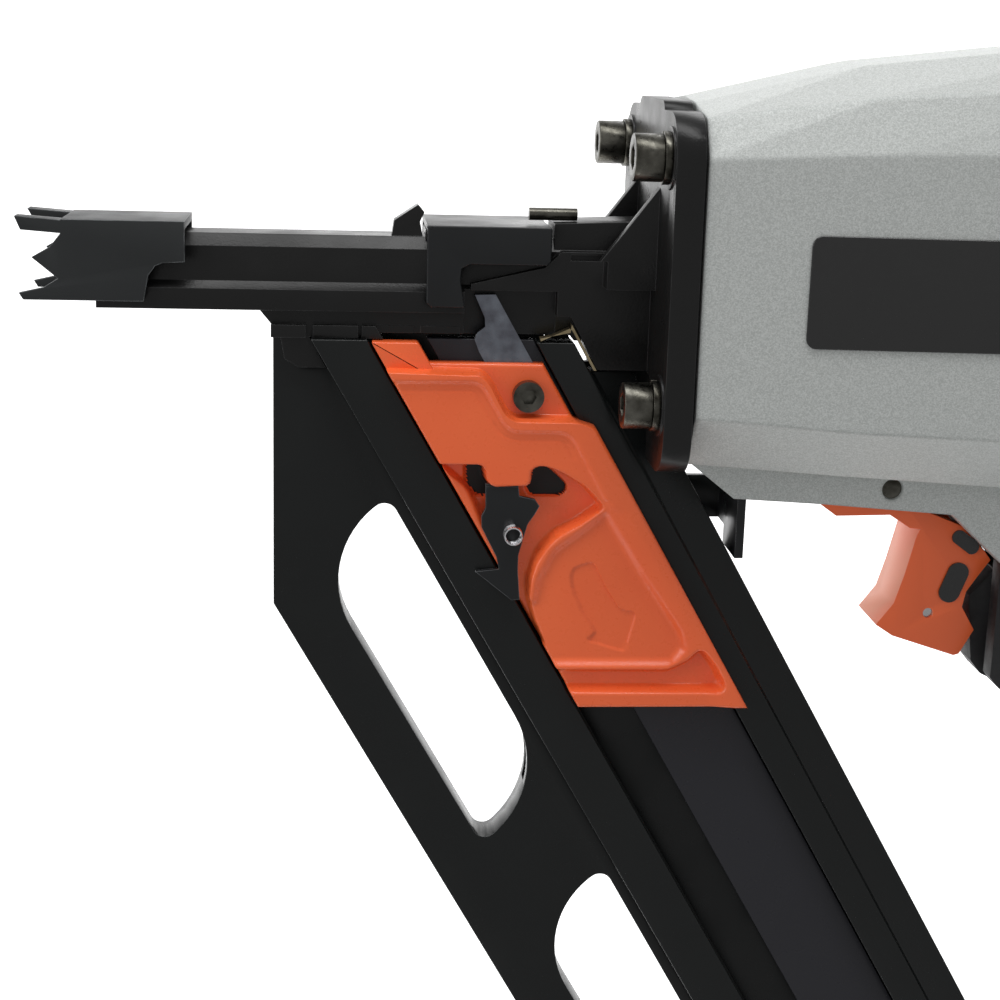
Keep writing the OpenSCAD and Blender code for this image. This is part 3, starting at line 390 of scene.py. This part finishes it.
def frosted_front_painted_sheen(base, painted_sheen_colour, rough):
    """Glossy orange whose faces that look forward are frosted, that is rougher,
    and are also painted paler and pinker as a painted sheen. The share is taken from how
    far the object's own normal points along -X."""
    made = Finish("trigger_orange", base, 0.28, 0.0, 0.3)
    normal = made.node("ShaderNodeSeparateXYZ")
    made.join(made.node("ShaderNodeTexCoord").outputs["Normal"],
              normal.inputs["Vector"])
    front = made.span(normal.outputs["X"], 1.0, 0.0, -0.86, -0.72)
    # Forward faces take the paler, pinker colour as a painted sheen. Their higher
    # roughness is the real frosting.
    made.join(made.two_tone(front, base, painted_sheen_colour),
              made.shader.inputs["Base Color"])
    made.join(made.span(front, 0.28, rough, 0.0, 1.0),
              made.shader.inputs["Roughness"])
    made.bump_from(made.noise(2400.0, 3.0), 0.04)
    return made.material


# The second colour is a painted sheen on the trigger's forward faces.
trigger_orange = frosted_front_painted_sheen((0.96, 0.155, 0.04), (0.80, 0.30, 0.18), 0.6)
rubber_black = moulded("rubber_black", (0.012, 0.012, 0.013),
                       (0.008, 0.008, 0.009), 0.58, 0.08, 2000.0)
gasket_black = moulded("gasket_black", (0.018, 0.018, 0.018),
                       (0.010, 0.010, 0.010), 0.75, 0.04, 3000.0)
label_black = moulded("label_black", (0.006, 0.006, 0.006),
                      (0.005, 0.005, 0.005), 0.22, 0.008, 1500.0, 0.5)
urethane = moulded("urethane", (0.03, 0.03, 0.03), (0.02, 0.02, 0.02),
                   0.5, 0.03, 1500.0)

# %% [markdown]
# ### Which finish goes where
#
# Each CAD node takes its finish through its material slot. The record
# names the slots, and this table turns a slot into a finish.

# %% Paint the frame
finish_of_slot = {
    "cast_black": cast_black, "sheet_black": sheet_black,
    "dark_steel": oiled_steel, "tip_steel": tip_steel,
    "steel": bright_steel, "spring_steel": spring_steel, "brass": brass,
    "gasket": gasket_black, "rubber": rubber_black, "body_silver": silver,
    "label": label_black, "cap_black": cap_black,
    "aluminium": turned_aluminium, "orange": orange,
    "black_plastic": moulded_black, "mag_black": anodised,
    "mag_panel": anodised_grey, "blade": tempered_blade,
    "urethane": urethane,
}
slot_of_node = {part["node"]: part["material_slot"]
                for part in frame["record"]["subparts"]}
for name, node in nodes.items():
    paint = finish_of_slot[slot_of_node[name]]
    for material_slot in node.material_slots:
        material_slot.material = paint
for material_slot in nodes["trigger"].material_slots:
    material_slot.material = trigger_orange
print("painted", len(nodes), "nodes with", len(finish_of_slot), "finishes")

# %% [markdown]
# ## Shape helpers
#
# Two kinds of surface make up the pieces below. A moulded plate is an
# outline with rounded corners, carried outwards along a quarter circle, so
# that its rim is round. A relief is a sheet over two parameters, whose
# height is worked out from distances to outlines: wherever an outline ends,
# the height passes smoothly to the next level, as it does in a mould.

# %% Frame of the magazine
SIN60, COS60 = math.sin(math.radians(60)), math.cos(math.radians(60))


def mag_x(t, z):
    """X of the point at distance t across the magazine, at height z."""
    return (np.asarray(t) - np.asarray(z) * COS60) / SIN60


def add_piece(name, points_mm, faces, finishes, body, material_of=None):
    """Makes a mesh object from points in millimetres and lets it ride."""
    mesh = bpy.data.meshes.new(name)
    mesh.from_pydata((np.asarray(points_mm) / 1000).tolist(), [], faces)
    for finish in finishes:
        mesh.materials.append(finish)
    if material_of is not None:
        mesh.polygons.foreach_set("material_index", material_of)
    mesh.polygons.foreach_set("use_smooth", [True] * len(mesh.polygons))
    mesh.update()
    piece = bpy.data.objects.new(name, mesh)
    bpy.context.scene.collection.objects.link(piece)
    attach(piece, body)
    return piece


def round_corners(outline, radius, steps=6):
    """Each corner becomes a quadratic curve between two points radius away
    on its edges, or 45% of the edge where that is shorter."""
    corner = np.asarray(outline, float)
    reach = np.broadcast_to(np.asarray(radius, float), len(corner))
    before = np.roll(corner, 1, 0) - corner
    after = np.roll(corner, -1, 0) - corner
    long_a = np.linalg.norm(before, axis=1)
    long_b = np.linalg.norm(after, axis=1)
    share_a = np.minimum(reach, 0.45 * long_a) / long_a
    share_b = np.minimum(reach, 0.45 * long_b) / long_b
    start = corner + before * share_a[:, None]
    stop = corner + after * share_b[:, None]
    s = np.linspace(0, 1, steps)[None, :, None]
    curve = ((1 - s) ** 2 * start[:, None] + 2 * s * (1 - s) * corner[:, None]
             + s ** 2 * stop[:, None])
    return curve.reshape(-1, 2)


def inset(outline, distance):
    """Moves each point along the mean of its two edge normals, inwards,
    divided by the cosine of half the turn, so that edges stay parallel."""
    ring = np.asarray(outline, float)
    edge = np.roll(ring, -1, 0) - ring
    edge /= np.linalg.norm(edge, axis=1)[:, None] + 1e-12
    normal = np.stack([-edge[:, 1], edge[:, 0]], axis=1)
    mean = normal + np.roll(normal, 1, 0)
    mean /= np.maximum(np.linalg.norm(mean, axis=1), 1e-9)[:, None]
    cosine = np.maximum((mean * normal).sum(1), 0.35)
    area = (ring[:, 0] * np.roll(ring[:, 1], -1)
            - np.roll(ring[:, 0], -1) * ring[:, 1]).sum()
    return ring + mean * (np.sign(area) * distance / cosine)[:, None]


def rings_to_faces(rings, count, cap_start=True, cap_stop=True):
    """Quads between neighbouring rings of count points, and end caps."""
    ring, place = np.meshgrid(np.arange(rings - 1), np.arange(count),
                              indexing="ij")
    after = (place + 1) % count
    quads = np.stack([ring * count + place, ring * count + after,
                      (ring + 1) * count + after, (ring + 1) * count + place],
                     axis=-1).reshape(-1, 4).tolist()
    if cap_start:
        quads.append(list(range(count))[::-1])
    if cap_stop:
        quads.append(list(range((rings - 1) * count, rings * count)))
    return quads


def face_outwards(piece):
    """Recalculates normals, because a ring may run either way round."""
    work = bmesh.new()
    work.from_mesh(piece.data)
    bmesh.ops.recalc_face_normals(work, faces=work.faces)
    work.to_mesh(piece.data)
    work.free()


def plate_points(outline, inner_y, outer_y, rim):
    """Rings of an outline in X and Z between two Y values. Both rims turn
    in along a quarter circle of radius rim."""
    outline = np.asarray(outline, float)
    toward = np.sign(outer_y - inner_y)
    angle = np.linspace(0, np.pi / 2, 4)
    sink = np.concatenate([rim * (1 - np.sin(angle)),
                           rim * (1 - np.cos(angle))])
    level = np.concatenate([inner_y + toward * rim * (1 - np.cos(angle)),
                            outer_y - toward * rim * (1 - np.sin(angle))])
    rings = [np.insert(inset(outline, d), 1, y, axis=1)
             for d, y in zip(sink, level)]
    return np.concatenate(rings), len(rings)


def moulded_plate(name, outline, inner_y, outer_y, rim, finish, body):
    """A closed plate with round rims, its outline given in X and Z."""
    points, rings = plate_points(outline, inner_y, outer_y, rim)
    piece = add_piece(name, points, rings_to_faces(rings, len(outline)),
                      [finish], body)
    face_outwards(piece)
    return piece


def distance_to(outline, x, z):
    """Signed distance of every point to a closed outline, inside positive:
    the least distance to its edges, with the sign from a crossing count."""
    a = np.asarray(outline, float)
    b = np.roll(a, -1, 0)
    px, pz = x[..., None], z[..., None]
    ex, ez = b[:, 0] - a[:, 0], b[:, 1] - a[:, 1]
    along = np.clip(((px - a[:, 0]) * ex + (pz - a[:, 1]) * ez)
                    / (ex ** 2 + ez ** 2), 0, 1)
    gap = np.hypot(px - a[:, 0] - along * ex,
                   pz - a[:, 1] - along * ez).min(-1)
    spans = (a[:, 1] > pz) != (b[:, 1] > pz)
    with np.errstate(divide="ignore", invalid="ignore"):
        cross = a[:, 0] + (pz - a[:, 1]) / ez * ex
    inside = (spans & (px < cross)).sum(-1) % 2 == 1
    return np.where(inside, gap, -gap)


def ease(value):
    """0 below 0, 1 above 1, and the smooth cubic 3v^2 - 2v^3 between."""
    v = np.clip(value, 0, 1)
    return v * v * (3 - 2 * v)


def spread(low, high, step, fine=0.16, rim=1.4):
    """Values from low to high: fine steps within rim of each end."""
    return np.concatenate([np.arange(low, low + rim, fine),
                           np.linspace(low + rim, high - rim,
                                       int((high - low - 2 * rim) / step)),
                           np.arange(high - rim + fine, high, fine), [high]])


# %% [markdown]
# ## Follower
#
# The orange follower pushes the nails. It is a glass-filled moulding whose
# face has many levels: a raised border that steps round the screw's field,
# a flat panel, a deep seat round the latch, a dished lower plate for the
# thumb, and a trough above its bottom lip. One sheet in t and Z carries all
# of them, because its left and right sides run along the magazine.

# %% Follower outlines, as t across the magazine and Z
LEFT, RIGHT, FOOT = 56.8, 101.6, -131.0

raised = [(57, -28.4), (80.3, -29.0), (81.3, -31.5), (80.9, -40.6),
          (82.4, -42.4), (99.2, -42.5), (101.2, -44), (120, -60),
          (120, -140), (40, -140), (40, -28.4)]
panel = [(50, -31.9), (77.4, -31.6), (78.7, -33), (78.8, -44.2),
         (80.3, -46), (92.6, -46), (94.2, -47.8), (93.8, -66.7),
         (90, -69.5), (60, -70), (50, -70)]
latch_seat = [(40, -56.4), (67.6, -56.4), (66.0, -61.0), (66.6, -63),
              (76.4, -62.6), (78.2, -60.6), (79.4, -57.6), (82.5, -56.4),
              (86.2, -58.1), (90.4, -62.5), (92.3, -68.6), (83.5, -73.9),
              (76.5, -77.2), (72.0, -80.6), (67.0, -85.4), (63.2, -90.4),
              (60.2, -96.2), (58.2, -104), (57.3, -112), (40, -112)]
ridge = [(56.2, -56.5), (59.4, -61.5), (60.2, -64), (59.0, -76),
         (58.6, -86), (57.8, -88), (55.6, -88.2)]
hole_near = [(62.9, -56.8), (67.2, -57.0), (65.8, -60.6), (66.1, -66.8),
             (60.9, -66.9), (60.1, -63.0)]
hole_far = [(79.6, -57.9), (82.5, -57.2), (84.2, -58.3), (86.2, -62.8),
            (85.0, -65.4), (82.1, -66.8), (74.8, -66.8), (75.2, -62.9),
            (77.6, -61.4)]
dish = [(92.9, -69.3), (93.6, -88), (95.3, -106.5), (94.0, -112.5),
        (88, -118.0), (50, -118.0), (50, -100), (60.2, -98), (65, -90.6),
        (73.4, -81.6), (84.4, -74.9)]
trough = [(50, -119.4), (86, -119.6), (93, -116.4), (97.6, -112.6),
          (98.8, -118), (98.6, -123.4), (96.6, -125.6), (50, -125.3)]
arrow = [(76.2, -87.6), (82.1, -85.5), (81.6, -93), (82.0, -100.6),
         (86.0, -101.4), (77.2, -113.8), (68.7, -110.1), (72.4, -108.0),
         (71.9, -101), (72.6, -94.5), (74.2, -90)]
print("follower outlines:", len(raised) + len(latch_seat) + len(dish))

# %% Follower sheet
# Levels are millimetres out from the tool's middle plane.
FIELD, BORDER, PANEL, BOWL, TROUGH, SEAT, RIDGE = (
    12.7, 19.0, 17.7, 15.6, 13.4, 10.6, 14.4)
PIT, BACK_Y = 8.9, -8.4
BOWL_TOP = -69

def in_t(t, z, outline):
    """Distance to an outline given in t and Z, where a step in t and a
    step in Z are told apart by the slant of the magazine."""
    shape = np.asarray(outline, float)
    flat = np.stack([mag_x(shape[:, 0], shape[:, 1]), shape[:, 1]], axis=1)
    return distance_to(round_corners(flat, 1.6, 4), mag_x(t, z), z)


def follower_height(t, z):
    """Level by level, from the raised border down to the seat of the latch.
    Outside the border lies the screw's field, which is lower."""
    level = np.full(t.shape, BORDER)
    level += (PANEL - level) * ease(in_t(t, z, panel) / 1.8 + 0.5)
    inner = in_t(t, z, panel) - 2.4
    level -= 0.25 * np.exp(-(inner / 0.35) ** 2) * (z > -54)
    bowl = in_t(t, z, dish)
    low = z < BOWL_TOP
    rim = 17.6 + 1.4 * ease((t - 91.5) / 7.5)
    level = np.where(low, rim, level)
    join = ease((z - BOWL_TOP) / 3 + 0.5)
    above = PANEL + 1.3 * ease((t - 92.5) / 3)
    level = np.where(np.abs(z - BOWL_TOP) < 3,
                     join * above + (1 - join) * rim, level)
    level += (BOWL - level) * ease(bowl / 3.4 + 0.25)
    level -= 0.6 * ease(in_t(t, z, arrow) / 0.35 + 0.5)
    level += (TROUGH - level) * ease(in_t(t, z, trough) / 2.6 + 0.5)
    level += (SEAT - level) * ease(in_t(t, z, latch_seat) / 1.3 + 0.5)
    level += (RIDGE - level) * ease(in_t(t, z, ridge) / 1.6 + 0.5)
    return FIELD + (level - FIELD) * ease(in_t(t, z, raised) / 1.5 + 0.5)


HEAD, NARROW_RIGHT, EDGE_ROUND = -26.9, 97.2, 1.2
across = spread(0.0, 1.0, 0.0105, 0.004, 0.032)
across = np.unique(np.append(across, np.linspace(0.50, 0.66, 60)))
down = np.linspace(HEAD, FOOT, 250)
down = np.unique(np.concatenate([
    down, np.linspace(HEAD, HEAD - 3.2, 22), np.linspace(-40.5, -45.5, 28),
    np.linspace(FOOT, FOOT + 1.4, 10)]))[::-1]
u_grid, z_grid = np.meshgrid(across, down, indexing="ij")
t_right = NARROW_RIGHT + ((RIGHT - NARROW_RIGHT)
                          * ease((-42.2 - z_grid) / 2.6))
t_grid = LEFT + u_grid * (t_right - LEFT)
to_side = np.minimum(t_grid - LEFT, t_right - t_grid) / SIN60
to_end = np.minimum(HEAD - z_grid, z_grid - FOOT)
near = np.clip(np.minimum(to_side, to_end) / EDGE_ROUND, 0, 1)
height = follower_height(t_grid, z_grid)
height -= EDGE_ROUND * (1 - np.sqrt(1 - (1 - near) ** 2))
# The two holes beside the latch are only shallow pits in this sheet. Their faces are
# painted black below as painted shade.
pit = np.maximum(in_t(t_grid, z_grid, hole_near),
                 in_t(t_grid, z_grid, hole_far))
height += (PIT - height) * ease(pit / 0.6 + 0.5)

rows, columns = t_grid.shape
front = np.stack([mag_x(t_grid, z_grid), -height, z_grid], axis=-1)
back = front.copy()
back[..., 1] = BACK_Y
index = np.arange(rows * columns).reshape(rows, columns)
front_faces = np.stack([index[:-1, :-1], index[1:, :-1], index[1:, 1:],
                        index[:-1, 1:]], axis=-1).reshape(-1, 4)
around = np.concatenate([index[:, 0], index[-1, 1:], index[-2::-1, -1],
                         index[0, -2:0:-1]])
back_ring = np.arange(len(around)) + rows * columns
after = np.roll(np.arange(len(around)), -1)
wall = np.stack([around, back_ring, back_ring[after], around[after]], axis=1)
points = np.concatenate([front.reshape(-1, 3), back.reshape(-1, 3)[around]])
# Faces inside the two pits take moulded_black. This is painted shade for the dark inside
# of the through holes.
pit_painted_shade = (pit[:-1, :-1].reshape(-1) > 0.25).astype(int)
faces = front_faces.tolist() + wall.tolist() + [back_ring.tolist()]
paints = pit_painted_shade.tolist() + [0] * (len(wall) + 1)
follower = add_piece("follower_face", points, faces, [orange, moulded_black],
                     "pusher", paints)
face_outwards(follower)
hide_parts("follower")
print("follower faces:", len(faces))

# %% Follower tab and tongue
tab_outline = [(float(mag_x(t, z)), z) for t, z in
               ((56.8, -20.9), (68.5, -20.9), (68.5, -32), (56.8, -32))]
moulded_plate("follower_tab", round_corners(tab_outline, 0.8), BACK_Y, -14.6,
              0.5, orange, "pusher")
tongue = [(float(mag_x(t, z)), z) for t, z in
          ((58.5, -60), (69.5, -60), (69.5, -80), (58.5, -80))]
moulded_plate("follower_tongue", round_corners(tongue, 1.0), 1.9, -8.6,
              0.4, orange, "pusher")

# %% [markdown]
# ## Rounded edges
#
# A CAD solid has knife edges, and no real casting or bent sheet has. Each
# piece in the table below gets a copy whose shared points are merged and
# whose flat faces are joined again, and a live bevel of its own width then
# rounds every edge sharper than 28 degrees.

# %% Rounded edges
SHARP = math.radians(28)

def softened(name, width_mm, segments=2):
    """A merged copy of a CAD node with rounded edges, in its place."""
    source = nodes[name]
    mesh = source.data.copy()
    mesh.name = name + "_soft"
    work = bmesh.new()
    work.from_mesh(mesh)
    bmesh.ops.remove_doubles(work, verts=work.verts, dist=1e-6)
    bmesh.ops.dissolve_limit(work, angle_limit=math.radians(1.0),
                             verts=work.verts, edges=work.edges,
                             delimit={"MATERIAL"})
    work.to_mesh(mesh)
    work.free()
    mesh.polygons.foreach_set("use_smooth", [True] * len(mesh.polygons))
    copy = bpy.data.objects.new(name + "_soft", mesh)
    bpy.context.scene.collection.objects.link(copy)
    bevel = copy.modifiers.new("edges", "BEVEL")
    bevel.width = width_mm / 1000
    bevel.segments = segments
    bevel.limit_method = "ANGLE"
    bevel.angle_limit = SHARP
    bevel.harden_normals = True
    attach(copy, body_of_node[name])
    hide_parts(name)
    return copy


bodies = frame["record"]["behaviour"]["bodies"]
body_of_node = {node: body for body, names in bodies.items()
                for node in names}
EDGE_MM = {
    "rear_cap": 2.0, "nosepiece": 0.6, "nose_clip": 0.45,
    "contact_tip": 0.5, "contact_arm_upper": 0.5, "contact_arm_lower": 0.4,
    "magazine_fin": 0.5, "magazine_tip_rail": 0.4, "magazine_panel": 0.3,
    "magazine_head_track": 0.4, "trigger": 0.9, "grip_sleeve": 1.4,
    "latch_plate": 0.25, "nose_bolts": 0.3, "lock_washers": 0.2,
    "side_labels": 0.3, "handle_end_cap": 1.2, "rafter_hook": 0.6,
    "exhaust_deflector": 0.6, "magazine_back_plate": 0.4,
}
soft = {name: softened(name, width) for name, width in EDGE_MM.items()}
print("softened", len(soft), "pieces")

# %% Sizes
import json
